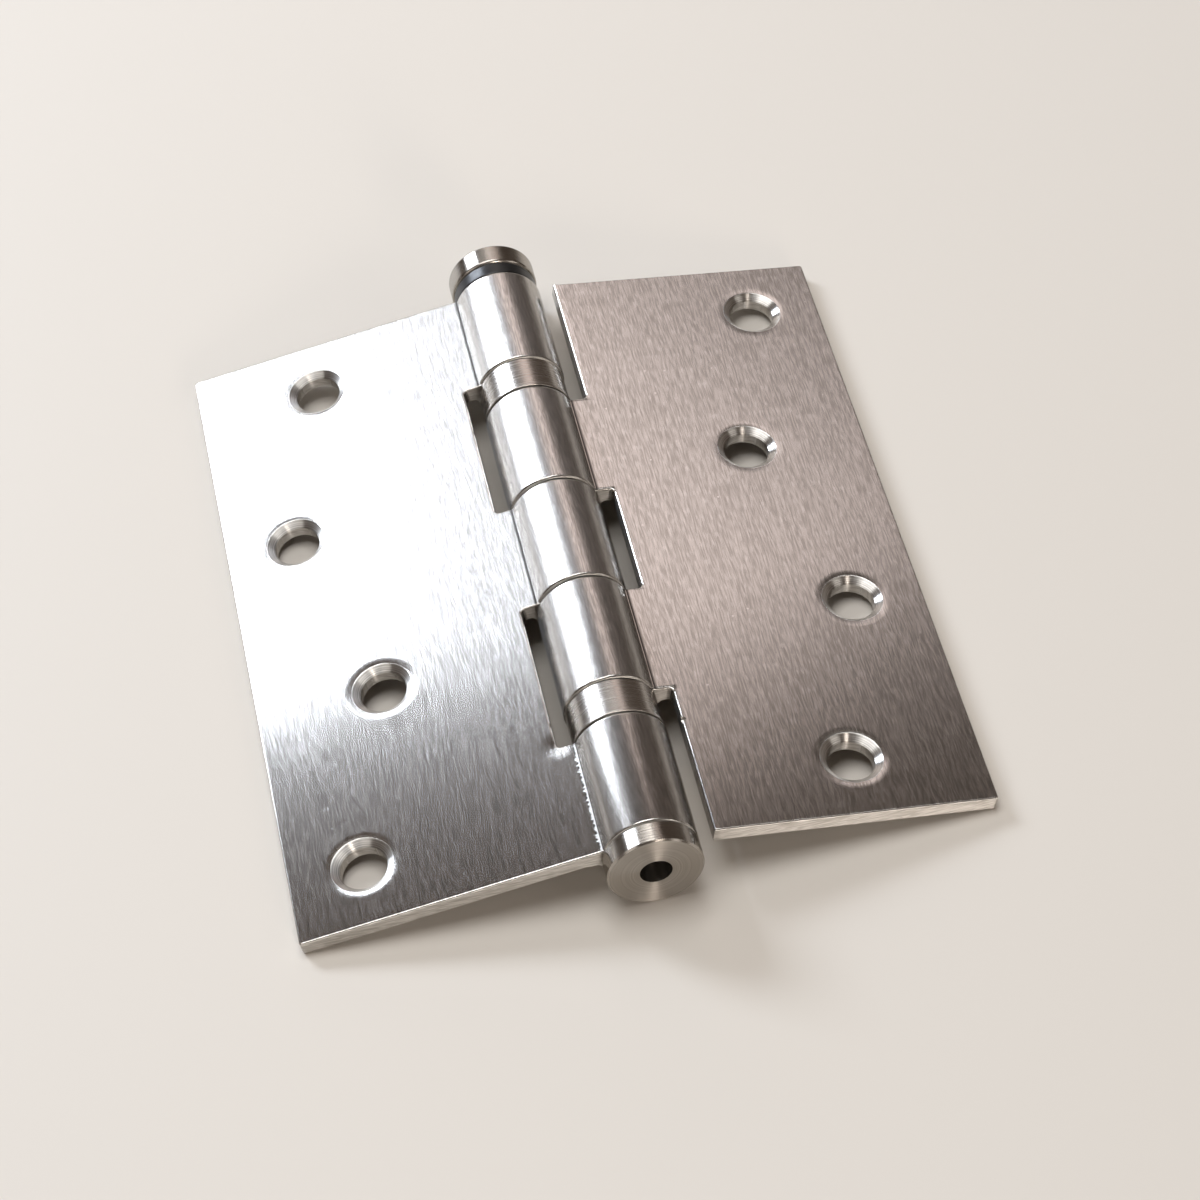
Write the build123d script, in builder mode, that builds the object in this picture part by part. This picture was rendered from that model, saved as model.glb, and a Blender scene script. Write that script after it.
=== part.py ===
# Ball bearing butt hinge, 114.3 by 101.6 mm open, with five rolled knuckles.
#
# Frame, in millimetres: the pin lies along Y with its head at +Y, the leaves open to the left and
# right along X, and Z is up. The hinge lies on its barrel and on the outer edges of its leaves, on
# Z = 0. X = 0 is the pin's axis, and Y = 0 is half way along the hinge's whole length.

from build123d import *
import math
import os

# Leaves
leaf_height = 114.3
leaf_reach = 50.8
leaf_thickness = 2.5
closed_gap = 1.6
notch_edge_reach = 8.9
notch_corner_radius = 0.8
leaf_corner_radius = 0.5
edge_round = 0.3

# Knuckles
knuckle_count = 5
knuckle_radius = 7.0
knuckle_gap = 0.3
rim_round = 0.45
seam_width = 0.25
root_fillet = 1.0

# Screw holes
hole_radius = 3.55
countersink_radius = 4.6
countersink_angle = 100.0
countersink_rim_round = 0.25
near_row_reach = 31.6
far_row_reach = 39.8
end_hole_inset = 10.3
middle_hole_inset = 40.5

# A ding in the right leaf's edge beside the barrel
ding_radius = 0.6
ding_height = 20.6

# Pin
pin_clearance = 0.05
pin_head_thickness = 3.9
pin_head_round = 0.5
pin_end_chamfer = 0.8

# Washer under the pin's head
washer_thickness = 2.6
washer_inset = 0.25
washer_clearance = 0.05
washer_round = 0.4

# Bottom tip
tip_thickness = 3.5
tip_break = 0.25
tip_shank_length = 9.0
tip_clearance = 0.02
tip_to_pin_gap = 0.4
punch_hole_radius = 2.35

# Ball bearings
bearing_count = 2
bearing_length = 6.6
ball_radius = 0.65
ball_count = 12
ball_clearance = 0.03
groove_depth = 0.2
race_running_clearance = 0.08
race_seat_clearance = 0.02
sleeve_inset = 0.2
sleeve_wall = 0.45
sleeve_end_gap = 0.25
sleeve_bead_height = 0.7
sleeve_bead_rise = 0.15
sleeve_bead_round = 0.1
cage_thickness = 0.5
cage_wall_clearance = 0.1

# Worked out from the sizes above
bore_radius = knuckle_radius - leaf_thickness
pin_radius = bore_radius - pin_clearance
pin_head_radius = knuckle_radius
washer_radius = pin_head_radius - washer_inset
tip_radius = knuckle_radius
sleeve_radius = knuckle_radius - sleeve_inset
back_height = closed_gap / 2
face_height = back_height + leaf_thickness
plain_joint_count = knuckle_count - 1 - bearing_count
joints_length = bearing_count * bearing_length + plain_joint_count * knuckle_gap
knuckle_length = (leaf_height - joints_length) / knuckle_count
leaf_top = leaf_height / 2
leaf_bottom = -leaf_height / 2
head_base = leaf_top + washer_thickness
barrel_top = head_base + pin_head_thickness
barrel_bottom = leaf_bottom - tip_thickness

# The leaves' outer lower edges reach down as far as the barrel does, so each leaf slopes by the
# angle a at which leaf_reach * sin(a) - back_height * cos(a) = knuckle_radius.
leaf_slope = math.asin(knuckle_radius / math.hypot(leaf_reach, back_height))
leaf_slope += math.atan2(back_height, leaf_reach)

# The point on the pin's axis half way up the leaves, which places along the barrel start from
leaf_middle = Vector(0, -(barrel_top + barrel_bottom) / 2, knuckle_radius)

# Knuckles from the pin's head down, each as its top and bottom from the leaves' middle. One
# bearing stands below the first knuckle and one above the last.
joint_lengths = [bearing_length, knuckle_gap, knuckle_gap, bearing_length]
knuckle_spans = []
span_top = leaf_top
for joint_length in [*joint_lengths, 0]:
    knuckle_spans.append((span_top, span_top - knuckle_length))
    span_top -= knuckle_length + joint_length
left_spans = knuckle_spans[0::2]
right_spans = knuckle_spans[1::2]
bearing_tops = {"upper": knuckle_spans[0][1], "lower": knuckle_spans[-2][1]}

LEFT = -1
RIGHT = 1

os.makedirs("parts", exist_ok=True)


def outward(side):
    """The direction down a leaf's slope, from the pin to its outer edge."""
    return Vector(side * math.cos(leaf_slope), 0, -math.sin(leaf_slope))


def face_normal(side):
    """The direction out of a leaf's countersunk face."""
    return Vector(side * math.sin(leaf_slope), 0, math.cos(leaf_slope))


def face_plane(side):
    """A leaf's countersunk face: X is the reach from the pin, and Y is 0 at the leaf's middle.

    Y runs towards the pin's head on the right leaf and away from it on the left one, so both
    leaves take one outline and one pattern of holes, turned by half a turn.
    """
    normal = face_normal(side)
    return Plane(leaf_middle + normal * face_height, x_dir=outward(side), z_dir=normal)


def across_leaf(side, y):
    """The plane across the barrel at y: X is the reach, and Y is the height along the normal."""
    return Plane(leaf_middle + Vector(0, y, 0), x_dir=outward(side), z_dir=(0, -side, 0))


def along_pin():
    """The plane through the pin: X is the radius, and Y runs along the pin to its head."""
    return Plane(leaf_middle, x_dir=(1, 0, 0), z_dir=(0, 0, 1))


pin_axis = Axis(leaf_middle, (0, 1, 0))


def ring_profile(inner, outer, bottom, top):
    """A rectangle of a turned part's profile, from two radii and two places along the pin."""
    with Locations(((inner + outer) / 2, (bottom + top) / 2)):
        Rectangle(outer - inner, top - bottom)


def make_leaf(side, spans):
    """One leaf, stamped from sheet, with its tabs rolled round the pin into knuckles.

    A tab passes under the free end of its roll, which closes down on the countersunk face and
    leaves a fine seam along the crease. Behind, the tab runs into the roll with a fillet.
    """
    crease_reach = math.sqrt(knuckle_radius**2 - face_height**2)
    back_reach = math.sqrt(knuckle_radius**2 - back_height**2)
    plate_width = leaf_reach - notch_edge_reach
    tab_width = notch_edge_reach - bore_radius
    with BuildPart() as leaf:
        # Plate and tabs
        with BuildSketch(face_plane(side)) as outline:
            with Locations((notch_edge_reach + plate_width / 2, 0)):
                Rectangle(plate_width, leaf_height)
            fillet(outline.vertices().group_by(Axis.X)[-1], leaf_corner_radius)
            for top, bottom in spans:
                with Locations((notch_edge_reach - tab_width / 2, side * (top + bottom) / 2)):
                    Rectangle(tab_width, top - bottom)
            notch_corners = [
                corner
                for corner in outline.vertices()
                if math.isclose(corner.X, notch_edge_reach, abs_tol=0.01)
                and abs(corner.Y) < leaf_top - 0.01
            ]
            fillet(notch_corners, notch_corner_radius)
        extrude(amount=-leaf_thickness)
        plate_edges = leaf.edges().filter_by(
            lambda edge: abs((edge @ 0.5 - edge @ 0).dot(face_normal(side))) < 0.01
        )
        fillet(plate_edges, edge_round)

        # Knuckles, as rings with rounded rims
        with BuildSketch(along_pin()) as rings:
            for top, bottom in spans:
                ring_profile(bore_radius, knuckle_radius, bottom, top)
            fillet(rings.vertices().group_by(Axis.X)[-1], rim_round)
        revolve(axis=pin_axis)

        # What joins each ring to its tab, from half the sheet's thickness down to the root's
        # fillet, and the seam above the tab
        root_end = knuckle_radius * (root_fillet - back_height) / (knuckle_radius + root_fillet)
        for top, bottom in spans:
            start = top if side == RIGHT else bottom
            with BuildSketch(across_leaf(side, start)) as join:
                Circle(knuckle_radius)
                with Locations((notch_edge_reach / 2, (back_height + face_height) / 2)):
                    Rectangle(notch_edge_reach, leaf_thickness)
                root = [
                    corner
                    for corner in join.vertices()
                    if math.isclose(corner.X, back_reach, abs_tol=0.01)
                    and math.isclose(corner.Y, back_height, abs_tol=0.01)
                ]
                fillet(root, root_fillet)
                Circle((bore_radius + knuckle_radius) / 2, mode=Mode.SUBTRACT)
                sheet_middle = (back_height + face_height) / 2
                with Locations((notch_edge_reach / 2, (sheet_middle - root_end) / 2)):
                    Rectangle(notch_edge_reach, sheet_middle + root_end, mode=Mode.INTERSECT)
            extrude(amount=top - bottom)
            with BuildSketch(across_leaf(side, start)):
                seam_end = crease_reach + seam_width
                with Locations((seam_end / 2, face_height + seam_width / 2)):
                    Rectangle(seam_end, seam_width)
            extrude(amount=top - bottom, mode=Mode.SUBTRACT)

        # Screw holes in a zigzag, countersunk from the face
        with Locations(face_plane(side)):
            with Locations(
                (far_row_reach, leaf_top - end_hole_inset),
                (near_row_reach, leaf_top - middle_hole_inset),
                (far_row_reach, leaf_bottom + middle_hole_inset),
                (near_row_reach, leaf_bottom + end_hole_inset),
            ):
                CounterSinkHole(
                    hole_radius, countersink_radius, leaf_thickness, countersink_angle
                )
        countersink_rims = leaf.edges().filter_by(
            lambda edge: edge.geom_type == GeomType.CIRCLE
            and math.isclose(edge.radius, countersink_radius, abs_tol=0.001)
        )
        fillet(countersink_rims, countersink_rim_round)
    return leaf


left_leaf = make_leaf(LEFT, left_spans)
left_leaf.part.label = "left_leaf"
export_step(left_leaf.part, "parts/left_leaf.step")

right_leaf = make_leaf(RIGHT, right_spans)
with right_leaf:
    with Locations(face_plane(RIGHT)):
        with Locations((notch_edge_reach, leaf_bottom + ding_height)):
            Sphere(ding_radius, mode=Mode.SUBTRACT)
right_leaf.part.label = "right_leaf"
export_step(right_leaf.part, "parts/right_leaf.step")

# The pin, turned with a flat button head
with BuildPart() as hinge_pin:
    pin_end = leaf_bottom + tip_shank_length + tip_to_pin_gap
    with BuildSketch(along_pin()) as pin_profile:
        ring_profile(0, pin_head_radius, head_base, barrel_top)
        head_corners = pin_profile.vertices().group_by(Axis.X)[-1]
        fillet(head_corners, pin_head_round)
        ring_profile(0, pin_radius, pin_end, head_base)
        end_corner = pin_profile.vertices().group_by(Axis.Y)[0].sort_by(Axis.X)[-1]
        chamfer(end_corner, pin_end_chamfer)
    revolve(axis=pin_axis)
hinge_pin.part.label = "hinge_pin"
export_step(hinge_pin.part, "parts/hinge_pin.step")

# The black washer that the pin's head sits on
with BuildPart() as head_washer:
    with BuildSketch(along_pin()) as washer_profile:
        ring_profile(pin_radius + washer_clearance, washer_radius, leaf_top, head_base)
        fillet(washer_profile.vertices().group_by(Axis.X)[-1], washer_round)
    revolve(axis=pin_axis)
head_washer.part.label = "head_washer"
export_step(head_washer.part, "parts/head_washer.step")

# The bottom tip, pressed into the last knuckle, with a hole to drive the pin out through
with BuildPart() as bottom_tip:
    with BuildSketch(along_pin()) as tip_profile:
        ring_profile(punch_hole_radius, tip_radius, barrel_bottom, leaf_bottom)
        rim_corners = tip_profile.vertices().group_by(Axis.X)[-1]
        chamfer(rim_corners, tip_break)
        shank_radius = bore_radius - tip_clearance
        shank_top = leaf_bottom + tip_shank_length
        ring_profile(punch_hole_radius, shank_radius, leaf_bottom, shank_top)
    revolve(axis=pin_axis)
bottom_tip.part.label = "bottom_tip"
export_step(bottom_tip.part, "parts/bottom_tip.step")

# The bearings: two grooved races with caged balls between them, in a sleeve that is pressed on
# the lower race and turns with it
race_bore = pin_radius + race_running_clearance
sleeve_bore = sleeve_radius - sleeve_wall
ball_circle = (pin_radius + sleeve_bore) / 2
race_gap = 2 * (ball_radius - groove_depth)
race_thickness = (bearing_length - race_gap) / 2

for name, top in bearing_tops.items():
    bottom = top - bearing_length
    ball_level = (top + bottom) / 2

    race_places = {
        "top_race": (sleeve_bore - race_running_clearance, top - race_thickness, top),
        "bottom_race": (sleeve_bore - race_seat_clearance, bottom, bottom + race_thickness),
    }
    for race_name, (race_radius, race_bottom, race_top) in race_places.items():
        with BuildPart() as race:
            with BuildSketch(along_pin()):
                ring_profile(race_bore, race_radius, race_bottom, race_top)
                with Locations((ball_circle, ball_level)):
                    Circle(ball_radius + ball_clearance, mode=Mode.SUBTRACT)
            revolve(axis=pin_axis)
        race.part.label = f"{name}_bearing_{race_name}"
        export_step(race.part, f"parts/{race.part.label}.step")

    with BuildPart() as cage:
        with BuildSketch(Plane(leaf_middle + Vector(0, ball_level, 0), z_dir=(0, 1, 0))):
            Circle(sleeve_bore - cage_wall_clearance)
            Circle(pin_radius + cage_wall_clearance, mode=Mode.SUBTRACT)
            with PolarLocations(ball_circle, ball_count):
                Circle(ball_radius + ball_clearance, mode=Mode.SUBTRACT)
        extrude(amount=cage_thickness / 2, both=True)
    cage.part.label = f"{name}_bearing_cage"
    export_step(cage.part, f"parts/{cage.part.label}.step")

    with BuildPart() as balls:
        with Locations(Plane(leaf_middle + Vector(0, ball_level, 0), z_dir=(0, 1, 0))):
            with PolarLocations(ball_circle, ball_count):
                Sphere(ball_radius)
    balls.part.label = f"{name}_bearing_balls"
    export_step(balls.part, f"parts/{balls.part.label}.step")

    sleeve_top = top - sleeve_end_gap
    sleeve_bottom = bottom + sleeve_end_gap
    with BuildPart() as sleeve:
        with BuildSketch(along_pin()) as sleeve_profile:
            ring_profile(sleeve_bore, sleeve_radius, sleeve_bottom, sleeve_top)
            bead_top = sleeve_bottom + sleeve_bead_height
            bead_radius = sleeve_radius + sleeve_bead_rise
            ring_profile(sleeve_bore, bead_radius, sleeve_bottom, bead_top)
            bead_corners = sleeve_profile.vertices().group_by(Axis.X)[-1]
            fillet(bead_corners, sleeve_bead_round)
        revolve(axis=pin_axis)
    sleeve.part.label = f"{name}_bearing_sleeve"
    export_step(sleeve.part, f"parts/{sleeve.part.label}.step")
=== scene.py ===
import bpy
import numpy as np
from mathutils import Matrix

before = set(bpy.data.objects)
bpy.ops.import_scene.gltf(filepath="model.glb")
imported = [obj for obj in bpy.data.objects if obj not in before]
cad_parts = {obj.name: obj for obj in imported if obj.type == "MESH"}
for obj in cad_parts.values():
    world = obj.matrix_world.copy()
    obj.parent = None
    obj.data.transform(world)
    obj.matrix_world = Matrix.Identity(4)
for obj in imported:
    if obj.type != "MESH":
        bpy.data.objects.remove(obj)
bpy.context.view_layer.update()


# The bench that the hinge lies on: a large level sheet of pale satin laminate. The barrel and the
# outer edges of both leaves touch it.
def linear(hex_colour):
    """An sRGB hex colour as linear red, green, blue and 1: ((c + 0.055) / 1.055) ** 2.4."""
    parts = [int(hex_colour[i : i + 2], 16) / 255 for i in (1, 3, 5)]
    return [c / 12.92 if c <= 0.04045 else ((c + 0.055) / 1.055) ** 2.4 for c in parts] + [1.0]


def add_node(material, kind, settings=(), links=()):
    """Adds a node: settings are (property or socket, value), links are (socket, output)."""
    node = material.node_tree.nodes.new(kind)
    for name, value in settings:
        if isinstance(name, str) and hasattr(node, name):
            setattr(node, name, value)
        else:
            node.inputs[name].default_value = value
    for name, output in links:
        material.node_tree.links.new(output, node.inputs[name])
    return node.outputs[0] if node.outputs else node


def new_material(name):
    """An empty node material of this name."""
    material = bpy.data.materials.new(name)
    material.use_nodes = True
    material.node_tree.nodes.clear()
    return material


# Pale laminate: moulded against a fine matt plate, so it is soft and even, with no grain.
laminate = new_material("pale_laminate")
laminate_gloss = add_node(
    laminate,
    "ShaderNodeBsdfPrincipled",
    [("Base Color", linear("#d9d3ca")), ("Roughness", 0.5), ("IOR", 1.5)],
)
add_node(laminate, "ShaderNodeOutputMaterial", links=[("Surface", laminate_gloss)])

bench_reach = 3.0
bench_mesh = bpy.data.meshes.new("bench")
bench_mesh.from_pydata(
    [(x * bench_reach, y * bench_reach, 0) for x, y in ((-1, -1), (1, -1), (1, 1), (-1, 1))],
    [],
    [(0, 1, 2, 3)],
)
bench_mesh.materials.append(laminate)
bench = bpy.data.objects.new("bench", bench_mesh)
bpy.context.scene.collection.objects.link(bench)


# The two leaves: stamped from 2.5 mm stainless sheet, satin finished along the barrel with an
# abrasive belt, with tabs rolled into knuckles. The knuckles are buffed smoother than the plate.
# Sizes are in metres. Each leaf slopes down by 8.82 degrees, and reaches are measured along it.
pin_height = 0.007
knuckle_radius = 0.007
slope_sine, slope_cosine = 0.15335, 0.98817
leaf_middle_y = -0.0015

# Satin stainless: the belt leaves streaks 0.1 to 0.2 mm wide and 2 to 4 mm long, in bands. They
# are drawn about twice as wide, because the real ones are finer than a pixel here. Between them
# lie a few bright specks, and faint cloudy patches of about a centimetre.
satin = new_material("satin_stainless")
coordinates = add_node(satin, "ShaderNodeTexCoord").node
place = coordinates.outputs["Object"]
facing = coordinates.outputs["Normal"]
place_parts = add_node(satin, "ShaderNodeSeparateXYZ", links=[(0, place)]).node.outputs
facing_parts = add_node(satin, "ShaderNodeSeparateXYZ", links=[(0, facing)]).node.outputs
over_pin = add_node(
    satin, "ShaderNodeMath", [("operation", "SUBTRACT"), (1, pin_height)], [(0, place_parts[2])]
)
angle_round_pin = add_node(
    satin, "ShaderNodeMath", [("operation", "ARCTAN2")], [(0, place_parts[0]), (1, over_pin)]
)
round_knuckle = add_node(
    satin, "ShaderNodeMath", [("operation", "MULTIPLY"), (1, knuckle_radius)], [(0, angle_round_pin)]
)
from_pin = add_node(satin, "ShaderNodeCombineXYZ", links=[(0, place_parts[0]), (1, over_pin)])
pin_distance = add_node(
    satin, "ShaderNodeVectorMath", [("operation", "LENGTH")], [(0, from_pin)]
).node.outputs["Value"]
knuckle_edge = (knuckle_radius + 0.0001, knuckle_radius + 0.0004)
on_knuckle = add_node(
    satin,
    "ShaderNodeMapRange",
    [(1, knuckle_edge[0]), (2, knuckle_edge[1]), (3, 1.0), (4, 0.0)],
    [(0, pin_distance)],
)
across_plate = add_node(
    satin,
    "ShaderNodeMix",
    links=[(0, on_knuckle), (2, place_parts[0]), (3, round_knuckle)],
)
end_facing = add_node(satin, "ShaderNodeMath", [("operation", "ABSOLUTE")], [(0, facing_parts[1])])
end_cosines = (0.6, 0.8)
on_end = add_node(
    satin, "ShaderNodeMapRange", [(1, end_cosines[0]), (2, end_cosines[1])], [(0, end_facing)]
)
across = add_node(
    satin, "ShaderNodeMix", links=[(0, on_end), (2, across_plate), (3, place_parts[2])]
)
along = add_node(
    satin, "ShaderNodeMix", links=[(0, on_end), (2, place_parts[1]), (3, place_parts[0])]
)
grain = add_node(satin, "ShaderNodeCombineXYZ", links=[(0, across), (1, along)])

streak_sizes = {"fine": (0.0002, 0.0026), "broad": (0.0006, 0.01), "dash": (0.0003, 0.0018)}
streaks = {}
for name, (width, length) in streak_sizes.items():
    stretched = add_node(
        satin,
        "ShaderNodeVectorMath",
        [("operation", "DIVIDE"), (1, (width, length, 1.0))],
        [(0, grain)],
    )
    streaks[name] = add_node(
        satin, "ShaderNodeTexNoise", [("Scale", 1.0), ("Detail", 0.0)], [("Vector", stretched)]
    )
cloud_size = 0.011
clouds = add_node(
    satin, "ShaderNodeTexNoise", [("Scale", 1 / cloud_size), ("Detail", 3.0)], [("Vector", place)]
)
dash_levels = (0.6, 0.7)
dashes = add_node(
    satin,
    "ShaderNodeMapRange",
    [(1, dash_levels[0]), (2, dash_levels[1])],
    [(0, streaks["dash"])],
)
speck_spacing = 0.0035
speck_distance = add_node(
    satin, "ShaderNodeTexVoronoi", [("Scale", 1 / speck_spacing)], [("Vector", place)]
)
speck_radii = (0.05, 0.035)
specks = add_node(
    satin,
    "ShaderNodeMapRange",
    [(1, speck_radii[0]), (2, speck_radii[1])],
    [(0, speck_distance)],
)

# Where a point lies on its leaf: the reach from the pin, and y from the leaf's middle, turned
# round on the left leaf, which has the same holes the other way up. Facing out says how nearly a
# face looks along the leaf's normal.
side_sign = add_node(satin, "ShaderNodeMath", [("operation", "SIGN")], [(0, place_parts[0])])
lean = add_node(
    satin, "ShaderNodeMath", [("operation", "MULTIPLY"), (1, slope_sine)], [(0, side_sign)]
)
leaf_normal = add_node(satin, "ShaderNodeCombineXYZ", [(2, slope_cosine)], [(0, lean)])
facing_out = add_node(
    satin, "ShaderNodeVectorMath", [("operation", "DOT_PRODUCT")], [(0, facing), (1, leaf_normal)]
).node.outputs["Value"]
side_x = add_node(
    satin, "ShaderNodeMath", [("operation", "ABSOLUTE")], [(0, place_parts[0])]
)
side_place = add_node(satin, "ShaderNodeCombineXYZ", links=[(0, side_x), (1, over_pin)])
reach = add_node(
    satin,
    "ShaderNodeVectorMath",
    [("operation", "DOT_PRODUCT"), (1, (slope_cosine, -slope_sine, 0.0))],
    [(0, side_place)],
).node.outputs["Value"]
leaf_y = add_node(
    satin, "ShaderNodeMath", [("operation", "SUBTRACT"), (1, leaf_middle_y)], [(0, place_parts[1])]
)
turned_y = add_node(
    satin, "ShaderNodeMath", [("operation", "MULTIPLY")], [(0, leaf_y), (1, side_sign)]
)
on_leaf = add_node(satin, "ShaderNodeCombineXYZ", links=[(0, reach), (1, turned_y)])

# The countersinks: machining rings round each hole, about 0.1 mm apart and drawn twice as coarse
# for the same reason as the streaks, and a lip that the belt has dished
countersink_radius = 0.0047
hole_places = [(0.0398, 0.04685), (0.0316, 0.01665), (0.0398, -0.01665), (0.0316, -0.04685)]
screw_distance = None
for hole_reach, hole_y in hole_places:
    next_distance = add_node(
        satin,
        "ShaderNodeVectorMath",
        [("operation", "DISTANCE"), (1, (hole_reach, hole_y, 0.0))],
        [(0, on_leaf)],
    ).node.outputs["Value"]
    if screw_distance is not None:
        next_distance = add_node(
            satin,
            "ShaderNodeMath",
            [("operation", "MINIMUM")],
            [(0, screw_distance), (1, next_distance)],
        )
    screw_distance = next_distance
rim_width = 0.0001
inside_rim = add_node(
    satin,
    "ShaderNodeMapRange",
    [(1, countersink_radius), (2, countersink_radius - rim_width)],
    [(0, screw_distance)],
)
wall_cosines = (0.25, 0.4)
off_wall = add_node(
    satin, "ShaderNodeMapRange", [(1, wall_cosines[0]), (2, wall_cosines[1])], [(0, facing_out)]
)
on_cone = add_node(
    satin, "ShaderNodeMath", [("operation", "MULTIPLY")], [(0, inside_rim), (1, off_wall)]
)
ring_pitch = 0.00022
ring_place = add_node(
    satin, "ShaderNodeMath", [("operation", "DIVIDE"), (1, ring_pitch)], [(0, screw_distance)]
)
rings = add_node(
    satin,
    "ShaderNodeTexNoise",
    [("noise_dimensions", "1D"), ("Scale", 1.0), ("Detail", 1.0)],
    [("W", ring_place)],
)
dished_width = 0.0011
lip = add_node(
    satin,
    "ShaderNodeMapRange",
    [(1, countersink_radius), (2, countersink_radius + dished_width), (3, 1.0), (4, 0.0)],
    [(0, screw_distance)],
)
dish = add_node(satin, "ShaderNodeMath", [("operation", "POWER"), (1, 2.0)], [(0, lip)])

# The crease beside a knuckle: a near-black line of painted shade, and on the last left knuckle a row
# of real burrs, painted almost white as a painted highlight
crease_reach = 0.00617
face_cosines = (0.9, 0.95)
facing_up = add_node(
    satin, "ShaderNodeMapRange", [(1, face_cosines[0]), (2, face_cosines[1])], [(0, facing_out)]
)
plate_start = (knuckle_radius + 0.00002, knuckle_radius + 0.00006)
off_knuckle = add_node(
    satin,
    "ShaderNodeMapRange",
    [(1, plate_start[0]), (2, plate_start[1])],
    [(0, pin_distance)],
)
on_plate = add_node(
    satin, "ShaderNodeMath", [("operation", "MULTIPLY")], [(0, facing_up), (1, off_knuckle)]
)
crease_end = (crease_reach + 0.00055, crease_reach + 0.0002)
near_crease = add_node(
    satin, "ShaderNodeMapRange", [(1, crease_end[0]), (2, crease_end[1])], [(0, reach)]
)
# Painted shade: the crease line is darkened where shade falls between the plate and the knuckle
crease_shade = add_node(
    satin, "ShaderNodeMath", [("operation", "MULTIPLY")], [(0, near_crease), (1, on_plate)]
)
burr_size = (0.002, 0.00045, 1.0)
burr_place = add_node(
    satin,
    "ShaderNodeVectorMath",
    [("operation", "DIVIDE"), (1, burr_size)],
    [(0, on_leaf)],
)
burr_noise = add_node(
    satin, "ShaderNodeTexNoise", [("Scale", 1.0), ("Detail", 2.0)], [("Vector", burr_place)]
)
burr_levels = (0.45, 0.75)
burr_ends = (crease_reach + 0.00032, crease_reach + 0.00085)
burr_reach = add_node(
    satin,
    "ShaderNodeMapRange",
    [(1, burr_levels[0]), (2, burr_levels[1]), (3, burr_ends[0]), (4, burr_ends[1])],
    [(0, burr_noise)],
)
burr_edge = add_node(
    satin, "ShaderNodeMath", [("operation", "SUBTRACT")], [(0, burr_reach), (1, reach)]
)
burr_edge_width = 0.0002
# The burrs are real and rougher than the plate; their near-white colour is a painted highlight
burrs_and_glint = add_node(satin, "ShaderNodeMapRange", [(1, 0.0), (2, burr_edge_width)], [(0, burr_edge)])
last_knuckle_top = -0.0386
last_knuckle_fade = 0.001
on_last_knuckle = add_node(
    satin,
    "ShaderNodeMapRange",
    [(1, last_knuckle_top), (2, last_knuckle_top - last_knuckle_fade)],
    [(0, place_parts[1])],
)
on_left = add_node(
    satin, "ShaderNodeMath", [("operation", "LESS_THAN"), (1, 0.0)], [(0, side_sign)]
)
for share in (on_plate, on_last_knuckle, on_left):
    burrs_and_glint = add_node(satin, "ShaderNodeMath", [("operation", "MULTIPLY")], [(0, burrs_and_glint), (1, share)])

# The right leaf's inner edge, rolled over a little by the belt where it lies open, and the left
# leaf's lowest notch, whose corner is pressed down. Both count in depths of a dished lip.
end_notch_y = (0.0299, 0.0307)
middle_notch_y = (0.0108, 0.0101)
off_middle = add_node(satin, "ShaderNodeMath", [("operation", "ABSOLUTE")], [(0, leaf_y)])
at_end_notch = add_node(
    satin, "ShaderNodeMapRange", [(1, end_notch_y[0]), (2, end_notch_y[1])], [(0, off_middle)]
)
at_middle_notch = add_node(
    satin,
    "ShaderNodeMapRange",
    [(1, middle_notch_y[0]), (2, middle_notch_y[1])],
    [(0, off_middle)],
)
at_notch = add_node(
    satin, "ShaderNodeMath", [("operation", "MAXIMUM")], [(0, at_end_notch), (1, at_middle_notch)]
)
on_right = add_node(
    satin, "ShaderNodeMath", [("operation", "GREATER_THAN"), (1, 0.0)], [(0, side_sign)]
)
edge_reach = (0.0089, 0.0101)
near_edge = add_node(
    satin,
    "ShaderNodeMapRange",
    [(1, edge_reach[0]), (2, edge_reach[1]), (3, 1.0), (4, 0.0)],
    [(0, reach)],
)
rolled_edge = add_node(
    satin, "ShaderNodeMath", [("operation", "POWER"), (1, 2.0)], [(0, near_edge)]
)
for share in (at_notch, on_right):
    rolled_edge = add_node(
        satin, "ShaderNodeMath", [("operation", "MULTIPLY")], [(0, rolled_edge), (1, share)]
    )
pressed_corner = (0.0086, 0.0367, 0.0)
pressed_width = 0.003
corner_distance = add_node(
    satin,
    "ShaderNodeVectorMath",
    [("operation", "DISTANCE"), (1, pressed_corner)],
    [(0, on_leaf)],
).node.outputs["Value"]
near_corner = add_node(
    satin,
    "ShaderNodeMapRange",
    [(1, 0.0), (2, pressed_width), (3, 1.0), (4, 0.0)],
    [(0, corner_distance)],
)
pressed = add_node(
    satin, "ShaderNodeMath", [("operation", "POWER"), (1, 2.0)], [(0, near_corner)]
)
pressed = add_node(
    satin, "ShaderNodeMath", [("operation", "MULTIPLY")], [(0, pressed), (1, on_left)]
)
rolled_depths, pressed_depths = 1.6, 2.5
sunk = add_node(
    satin,
    "ShaderNodeMath",
    [("operation", "MULTIPLY_ADD"), (1, rolled_depths)],
    [(0, rolled_edge), (2, dish)],
)
sunk = add_node(
    satin,
    "ShaderNodeMath",
    [("operation", "MULTIPLY_ADD"), (1, pressed_depths)],
    [(0, pressed), (2, sunk)],
)
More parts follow.
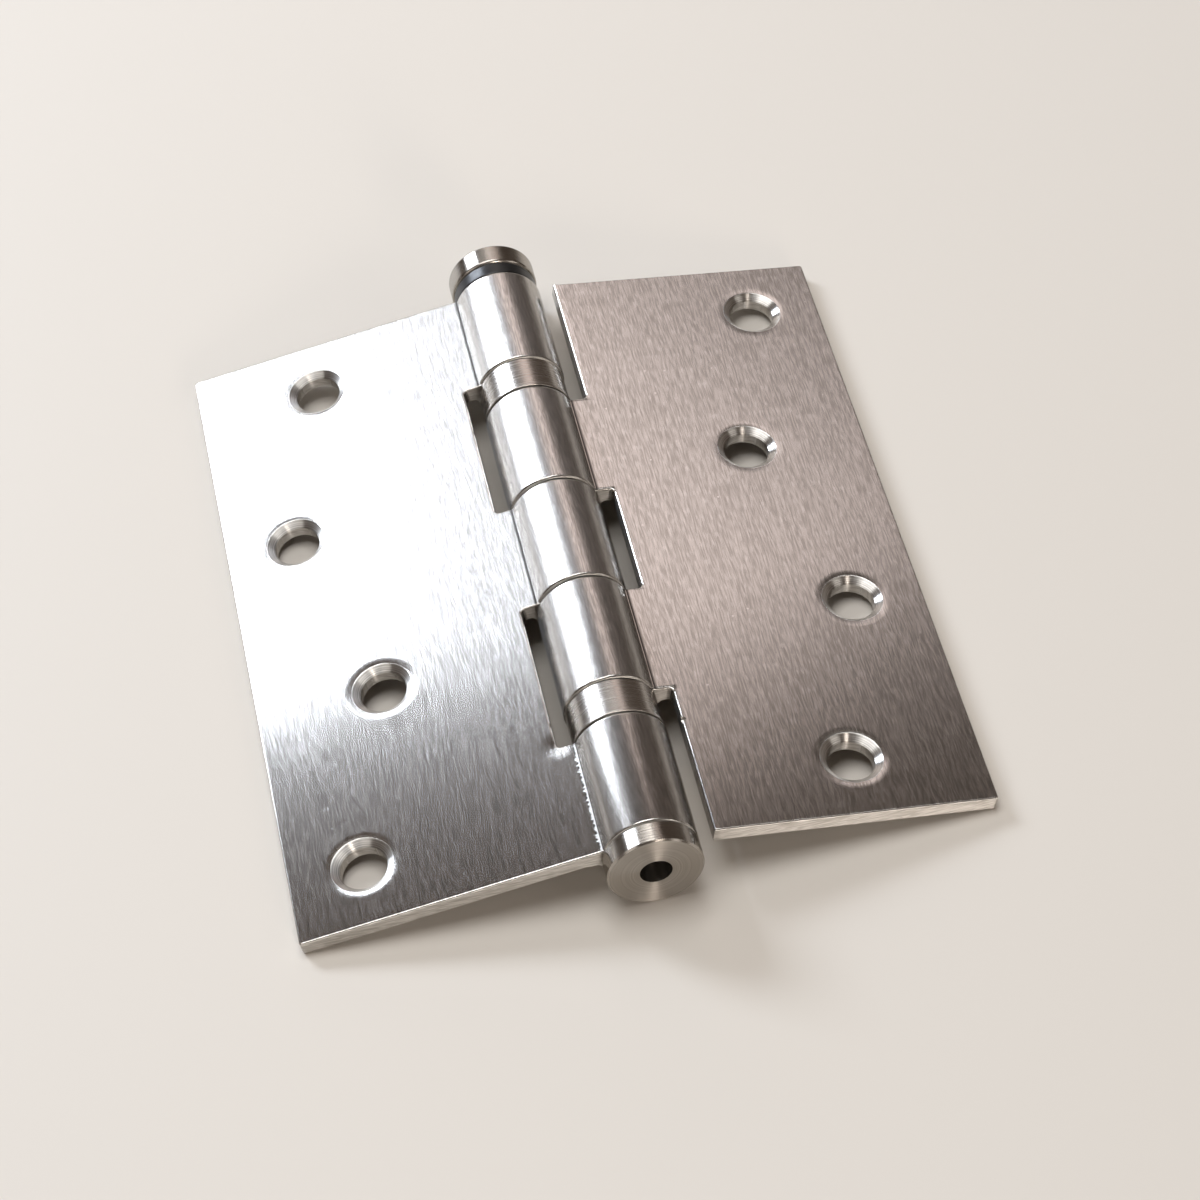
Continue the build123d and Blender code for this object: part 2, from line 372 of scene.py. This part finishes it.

# Colour: pale grey streaks with brighter dashes and specks, rings on the cones, knuckles painted a
# little darker and browner as painted shade, near-black painted shade in the creases and burrs
# painted almost white as a painted highlight
broad_share, bright_dash_share, knuckle_shade_amount = 0.5, 0.35, 0.25
streak_sum = add_node(
    satin,
    "ShaderNodeMath",
    [("operation", "MULTIPLY_ADD"), (1, broad_share)],
    [(0, streaks["broad"]), (2, streaks["fine"])],
)
tone_levels = (0.55, 0.95)
tone = add_node(
    satin, "ShaderNodeMapRange", [(1, tone_levels[0]), (2, tone_levels[1])], [(0, streak_sum)]
)
colour = add_node(
    satin,
    "ShaderNodeMix",
    [("data_type", "RGBA"), (6, linear("#b8b4ae")), (7, linear("#d9d5d0"))],
    [(0, tone)],
).node.outputs[2]
dash_share = add_node(
    satin,
    "ShaderNodeMath",
    [("operation", "MULTIPLY_ADD"), (1, bright_dash_share)],
    [(0, dashes), (2, specks)],
)
colour = add_node(
    satin,
    "ShaderNodeMix",
    [("data_type", "RGBA"), (7, linear("#f4f2ef"))],
    [(0, dash_share), (6, colour)],
).node.outputs[2]
ring_levels = (0.35, 0.65)
ring_tone = add_node(
    satin, "ShaderNodeMapRange", [(1, ring_levels[0]), (2, ring_levels[1])], [(0, rings)]
)
ring_colour = add_node(
    satin,
    "ShaderNodeMix",
    [("data_type", "RGBA"), (6, linear("#b4b0aa")), (7, linear("#f0eeea"))],
    [(0, ring_tone)],
).node.outputs[2]
colour = add_node(
    satin, "ShaderNodeMix", [("data_type", "RGBA")], [(0, on_cone), (6, colour), (7, ring_colour)]
).node.outputs[2]
# Painted shade: the knuckles are painted darker and browner, to stand in for the dim warm room that
# they reflect
knuckle_shade = add_node(
    satin, "ShaderNodeMath", [("operation", "MULTIPLY"), (1, knuckle_shade_amount)], [(0, on_knuckle)]
)
# Painted shade on the knuckles and in the creases, and a painted highlight on the burrs
for share, tint in ((knuckle_shade, "#8f8982"), (crease_shade, "#3a3633"), (burrs_and_glint, "#f6f4f1")):
    colour = add_node(
        satin,
        "ShaderNodeMix",
        [("data_type", "RGBA"), (7, linear(tint))],
        [(0, share), (6, colour)],
    ).node.outputs[2]

# Gloss: the roughness of the plate hardly varies, and the knuckles, the cut ends, the cones and
# the burrs each have their own. Noise lies between the levels 0.3 and 0.7.
noise_low, noise_high = 0.3, 0.7
plate_gloss = add_node(
    satin,
    "ShaderNodeMapRange",
    [(1, noise_low), (2, noise_high), (3, 0.17), (4, 0.173)],
    [(0, streaks["fine"])],
)
cloud_gloss = add_node(
    satin,
    "ShaderNodeMapRange",
    [(1, noise_low), (2, noise_high), (3, -0.001), (4, 0.001)],
    [(0, clouds)],
)
gloss = add_node(
    satin, "ShaderNodeMath", [("operation", "ADD")], [(0, plate_gloss), (1, cloud_gloss)]
)
for share, roughness in ((on_knuckle, 0.18), (on_end, 0.3), (on_cone, 0.33), (burrs_and_glint, 0.5)):
    gloss = add_node(satin, "ShaderNodeMix", [(3, roughness)], [(0, share), (2, gloss)])

# Relief: the sunk places, and the rings on the cones. The tangent lies across the streaks, with a
# small nudge where a face looks along the barrel, and up the slope of the cones, across the rings.
lip_depth, ring_depth, ring_relief = 0.000045, 0.00004, 0.8
relief = add_node(
    satin,
    "ShaderNodeBump",
    [("invert", True), ("Strength", 1.0), ("Distance", lip_depth)],
    [("Height", sunk)],
)
ring_strength = add_node(
    satin, "ShaderNodeMath", [("operation", "MULTIPLY"), (1, ring_relief)], [(0, on_cone)]
)
relief = add_node(
    satin,
    "ShaderNodeBump",
    [("Distance", ring_depth)],
    [("Strength", ring_strength), ("Height", rings), ("Normal", relief)],
)
along_barrel = (0.0, 1.0, 0.0)
nudge = (0.0, 0.0, 0.01)
world_facing = add_node(satin, "ShaderNodeNewGeometry").node.outputs["Normal"]
brushed_across = add_node(
    satin,
    "ShaderNodeVectorMath",
    [("operation", "CROSS_PRODUCT"), (1, along_barrel)],
    [(0, world_facing)],
)
brushed_across = add_node(
    satin, "ShaderNodeVectorMath", [("operation", "ADD"), (1, nudge)], [(0, brushed_across)]
)
world_leaf_normal = add_node(
    satin,
    "ShaderNodeVectorTransform",
    [("vector_type", "VECTOR"), ("convert_from", "OBJECT"), ("convert_to", "WORLD")],
    [(0, leaf_normal)],
)
brushed_across = add_node(
    satin,
    "ShaderNodeMix",
    [("data_type", "VECTOR")],
    [(0, on_cone), (4, brushed_across), (5, world_leaf_normal)],
).node.outputs[1]
satin_gloss = add_node(
    satin,
    "ShaderNodeBsdfPrincipled",
    [("Metallic", 1.0), ("Anisotropic", 1.0)],
    [("Base Color", colour), ("Roughness", gloss), ("Normal", relief), ("Tangent", brushed_across)],
)
add_node(satin, "ShaderNodeOutputMaterial", links=[("Surface", satin_gloss)])
for name in ("left_leaf", "right_leaf"):
    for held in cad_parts[name].material_slots:
        held.material = satin


# The pin and the bottom tip: turned from stainless bar on a lathe, so fine tool marks run round
# them, and soft fan-shaped highlights show on their rougher ends. The marks are drawn about twice
# as coarse as the real ones, as the rings of the countersinks are.
turned = new_material("turned_stainless")
coordinates = add_node(turned, "ShaderNodeTexCoord").node
place = coordinates.outputs["Object"]
facing = coordinates.outputs["Normal"]
place_parts = add_node(turned, "ShaderNodeSeparateXYZ", links=[(0, place)]).node.outputs
over_pin = add_node(
    turned, "ShaderNodeMath", [("operation", "SUBTRACT"), (1, pin_height)], [(0, place_parts[2])]
)
from_pin = add_node(turned, "ShaderNodeCombineXYZ", links=[(0, place_parts[0]), (2, over_pin)])
pin_distance = add_node(
    turned, "ShaderNodeVectorMath", [("operation", "LENGTH")], [(0, from_pin)]
).node.outputs["Value"]
facing_parts = add_node(turned, "ShaderNodeSeparateXYZ", links=[(0, facing)]).node.outputs
facing_along = add_node(
    turned, "ShaderNodeMath", [("operation", "ABSOLUTE")], [(0, facing_parts[1])]
)
mark_place = add_node(
    turned, "ShaderNodeMath", [("operation", "ADD")], [(0, pin_distance), (1, place_parts[1])]
)
tool_mark_pitch = 0.00022
mark_place = add_node(
    turned, "ShaderNodeMath", [("operation", "DIVIDE"), (1, tool_mark_pitch)], [(0, mark_place)]
)
tool_marks = add_node(
    turned,
    "ShaderNodeTexNoise",
    [("noise_dimensions", "1D"), ("Scale", 1.0), ("Detail", 2.0)],
    [("W", mark_place)],
)
turned_cloud_size = 0.004
clouds = add_node(
    turned,
    "ShaderNodeTexNoise",
    [("Scale", 1 / turned_cloud_size), ("Detail", 3.0)],
    [("Vector", place)],
)
turned_colour = add_node(
    turned,
    "ShaderNodeMix",
    [("data_type", "RGBA"), (6, linear("#958e86")), (7, linear("#c6c1ba"))],
    [(0, tool_marks)],
).node.outputs[2]
turned_roughness = add_node(
    turned,
    "ShaderNodeMapRange",
    [(1, noise_low), (2, noise_high), (3, 0.23), (4, 0.27)],
    [(0, clouds)],
)
turned_end_cosines = (0.9, 0.98)
end_roughness = 0.46
end_turn = add_node(
    turned,
    "ShaderNodeMapRange",
    [(1, turned_end_cosines[0]), (2, turned_end_cosines[1])],
    [(0, facing_along)],
)
turned_roughness = add_node(
    turned, "ShaderNodeMix", [(3, end_roughness)], [(0, end_turn), (2, turned_roughness)]
)
tool_mark_depth = 0.00002
turned_relief = add_node(
    turned,
    "ShaderNodeBump",
    [("Strength", 0.35), ("Distance", tool_mark_depth)],
    [("Height", tool_marks)],
)
world_facing = add_node(turned, "ShaderNodeNewGeometry").node.outputs["Normal"]
world_parts = add_node(turned, "ShaderNodeSeparateXYZ", links=[(0, world_facing)]).node.outputs
end_facing = add_node(turned, "ShaderNodeMath", [("operation", "ABSOLUTE")], [(0, world_parts[1])])
radial = add_node(turned, "ShaderNodeVectorMath", [("operation", "NORMALIZE")], [(0, from_pin)])
radial = add_node(
    turned,
    "ShaderNodeVectorTransform",
    [("vector_type", "VECTOR"), ("convert_from", "OBJECT"), ("convert_to", "WORLD")],
    [(0, radial)],
)
brushed_across = add_node(
    turned,
    "ShaderNodeMix",
    [("data_type", "VECTOR"), (4, along_barrel)],
    [(0, end_facing), (5, radial)],
).node.outputs[1]
turned_gloss = add_node(
    turned,
    "ShaderNodeBsdfPrincipled",
    [("Metallic", 1.0), ("Anisotropic", 0.9)],
    [
        ("Base Color", turned_colour),
        ("Roughness", turned_roughness),
        ("Normal", turned_relief),
        ("Tangent", brushed_across),
    ],
)
add_node(turned, "ShaderNodeOutputMaterial", links=[("Surface", turned_gloss)])
for name in ("hinge_pin", "bottom_tip"):
    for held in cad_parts[name].material_slots:
        held.material = turned


# The washer under the pin's head: moulded black nylon, pushed over the pin. It has a soft dark
# sheen and a faint moulded bloom.
nylon = new_material("black_nylon")
place = add_node(nylon, "ShaderNodeTexCoord").node.outputs["Object"]
bloom_size = 0.0012
bloom = add_node(
    nylon, "ShaderNodeTexNoise", [("Scale", 1 / bloom_size), ("Detail", 3.0)], [("Vector", place)]
)
nylon_colour = add_node(
    nylon,
    "ShaderNodeMix",
    [("data_type", "RGBA"), (6, linear("#0e0e0f")), (7, linear("#1c1c1d"))],
    [(0, bloom)],
).node.outputs[2]
nylon_roughness = add_node(
    nylon,
    "ShaderNodeMapRange",
    [(1, noise_low), (2, noise_high), (3, 0.3), (4, 0.42)],
    [(0, bloom)],
)
bloom_depth = 0.00005
nylon_relief = add_node(
    nylon, "ShaderNodeBump", [("Strength", 0.15), ("Distance", bloom_depth)], [("Height", bloom)]
)
nylon_gloss = add_node(
    nylon,
    "ShaderNodeBsdfPrincipled",
    [("IOR", 1.53)],
    [("Base Color", nylon_colour), ("Roughness", nylon_roughness), ("Normal", nylon_relief)],
)
add_node(nylon, "ShaderNodeOutputMaterial", links=[("Surface", nylon_gloss)])
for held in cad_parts["head_washer"].material_slots:
    held.material = nylon


# The bearing sleeves: drawn from thin stainless strip, spun smooth and pressed over the lower
# race of each bearing. They are a little brighter than the knuckles, with marks that run round.
drawn = new_material("drawn_stainless")
place = add_node(drawn, "ShaderNodeTexCoord").node.outputs["Object"]
place_parts = add_node(drawn, "ShaderNodeSeparateXYZ", links=[(0, place)]).node.outputs
spin_mark_pitch = 0.00035
mark_place = add_node(
    drawn, "ShaderNodeMath", [("operation", "DIVIDE"), (1, spin_mark_pitch)], [(0, place_parts[1])]
)
spin_marks = add_node(
    drawn,
    "ShaderNodeTexNoise",
    [("noise_dimensions", "1D"), ("Scale", 1.0), ("Detail", 2.0)],
    [("W", mark_place)],
)
sleeve_colour = add_node(
    drawn,
    "ShaderNodeMix",
    [("data_type", "RGBA"), (6, linear("#bdb7b0")), (7, linear("#ccc7c1"))],
    [(0, spin_marks)],
).node.outputs[2]
sleeve_roughness = add_node(
    drawn,
    "ShaderNodeMapRange",
    [(1, noise_low), (2, noise_high), (3, 0.23), (4, 0.29)],
    [(0, spin_marks)],
)
spin_mark_depth = 0.00002
sleeve_relief = add_node(
    drawn,
    "ShaderNodeBump",
    [("Strength", 0.05), ("Distance", spin_mark_depth)],
    [("Height", spin_marks)],
)
sleeve_gloss = add_node(
    drawn,
    "ShaderNodeBsdfPrincipled",
    [("Metallic", 1.0)],
    [("Base Color", sleeve_colour), ("Roughness", sleeve_roughness), ("Normal", sleeve_relief)],
)
add_node(drawn, "ShaderNodeOutputMaterial", links=[("Surface", sleeve_gloss)])
for end in ("upper", "lower"):
    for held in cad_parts[f"{end}_bearing_sleeve"].material_slots:
        held.material = drawn


# The races and the balls inside the bearings: hardened steel, ground and lapped to a mirror, and
# dulled in patches by a thin film of oil.
hardened = new_material("hardened_steel")
place = add_node(hardened, "ShaderNodeTexCoord").node.outputs["Object"]
oil_patch_size = 0.0015
oil = add_node(
    hardened,
    "ShaderNodeTexNoise",
    [("Scale", 1 / oil_patch_size), ("Detail", 2.0)],
    [("Vector", place)],
)
hardened_colour = add_node(
    hardened,
    "ShaderNodeMix",
    [("data_type", "RGBA"), (6, linear("#a9abae")), (7, linear("#c9cbce"))],
    [(0, oil)],
).node.outputs[2]
hardened_roughness = add_node(
    hardened,
    "ShaderNodeMapRange",
    [(1, noise_low), (2, noise_high), (3, 0.08), (4, 0.18)],
    [(0, oil)],
)
hardened_gloss = add_node(
    hardened,
    "ShaderNodeBsdfPrincipled",
    [("Metallic", 1.0)],
    [("Base Color", hardened_colour), ("Roughness", hardened_roughness)],
)
add_node(hardened, "ShaderNodeOutputMaterial", links=[("Surface", hardened_gloss)])
for end in ("upper", "lower"):
    for piece in ("top_race", "bottom_race", "balls"):
        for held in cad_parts[f"{end}_bearing_{piece}"].material_slots:
            held.material = hardened


# The cages that space the balls: moulded from natural nylon, milky and slightly yellow.
cage_nylon = new_material("natural_nylon")
place = add_node(cage_nylon, "ShaderNodeTexCoord").node.outputs["Object"]
milk_patch_size = 0.002
milk = add_node(
    cage_nylon,
    "ShaderNodeTexNoise",
    [("Scale", 1 / milk_patch_size), ("Detail", 2.0)],
    [("Vector", place)],
)
cage_colour = add_node(
    cage_nylon,
    "ShaderNodeMix",
    [("data_type", "RGBA"), (6, linear("#d8d0bb")), (7, linear("#e6e0cf"))],
    [(0, milk)],
).node.outputs[2]
cage_roughness = add_node(
    cage_nylon,
    "ShaderNodeMapRange",
    [(1, noise_low), (2, noise_high), (3, 0.4), (4, 0.5)],
    [(0, milk)],
)
cage_gloss = add_node(
    cage_nylon,
    "ShaderNodeBsdfPrincipled",
    [("IOR", 1.53)],
    [("Base Color", cage_colour), ("Roughness", cage_roughness)],
)
add_node(cage_nylon, "ShaderNodeOutputMaterial", links=[("Surface", cage_gloss)])
for end in ("upper", "lower"):
    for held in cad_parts[f"{end}_bearing_cage"].material_slots:
        held.material = cage_nylon


# The studio: a key soft box low behind the hinge on its left, with a small one beside it for the
# last knuckle, others behind, above and in front, and three low fill boxes round the hinge for
# the views from behind, in a dim warm room.
def soft_box(name, azimuth, elevation, roll, width, height, power, colour):
    """A rectangular area light that faces the hinge, placed by degrees from +Y, up, and rolled."""
    distance = 1.2
    lamp = bpy.data.lights.new(name, "AREA")
    lamp.shape = "RECTANGLE"
    lamp.size = width
    lamp.size_y = height
    lamp.energy = power
    lamp.color = linear(colour)[:3]
    held = bpy.data.objects.new(name, lamp)
    turn, lift, tilt = np.radians((azimuth, elevation, roll))
    back = np.array((np.sin(turn) * np.cos(lift), np.cos(turn) * np.cos(lift), np.sin(lift)))
    right = np.cross((0, 0, 1), back)
    right /= np.linalg.norm(right)
    up = np.cross(back, right)
    rolled = (right * np.cos(tilt) + up * np.sin(tilt), up * np.cos(tilt) - right * np.sin(tilt))
    axes = np.column_stack((*rolled, back))
    aim = np.array((0, 0, 0.005))
    stand = Matrix.Translation((aim + back * distance).tolist())
    held.matrix_world = stand @ Matrix(axes.tolist()).to_4x4()
    bpy.context.scene.collection.objects.link(held)


soft_box("key_soft_box", -35.6, 30.9, 47, 0.27, 0.46, 10.5, "#e7f0fd")
soft_box("near_soft_box", -44, 36.7, 32, 0.07, 0.15, 0.14, "#e7f0fd")
soft_box("back_soft_box", 13, 39.5, 58, 0.27, 0.63, 0.64, "#ffeeea")
soft_box("top_soft_box", -30, 80, 0, 0.9, 0.7, 9, "#ffffff")
soft_box("front_soft_box", 168, 15, 0, 0.2, 0.2, 3.5, "#fff4ea")
soft_box("left_fill_box", -140, 25, 0, 0.6, 0.4, 1.2, "#fffaf4")
soft_box("right_fill_box", 125, 25, 0, 0.6, 0.4, 1.2, "#fffaf4")
soft_box("back_fill_box", 0, 15, 0, 0.9, 0.25, 1.2, "#fffaf4")
room = bpy.data.worlds.new("room")
room.use_nodes = True
room_glow = room.node_tree.nodes["Background"]
room_glow.inputs["Color"].default_value = linear("#86766a")
room_glow.inputs["Strength"].default_value = 0.37
bpy.context.scene.world = room
bpy.context.scene.view_settings.view_transform = "Standard"

# The camera, from a fit to the photograph's points: its place, and the directions of its right
# side, its up side and its back
focal_pixels, photo_pixels, sensor_width = 3304.72, 1200, 36
camera_place = (-0.0411029779, -0.332646115, 0.379474491)
camera_data = bpy.data.cameras.new("camera")
camera_data.lens = focal_pixels / photo_pixels * sensor_width
camera_data.sensor_width = sensor_width
camera_data.clip_start = 0.01
camera = bpy.data.objects.new("camera", camera_data)
camera_axes = np.array(
    [
        [0.976170930, -0.207371738, -0.0639318189],
        [0.197961938, 0.730311615, 0.653801206],
        [-0.0888897426, -0.650877798, 0.753960679],
    ]
).T
camera_turn = Matrix(camera_axes.tolist()).to_4x4()
camera.matrix_world = Matrix.Translation(camera_place) @ camera_turn
bpy.context.scene.collection.objects.link(camera)
bpy.context.scene.camera = camera
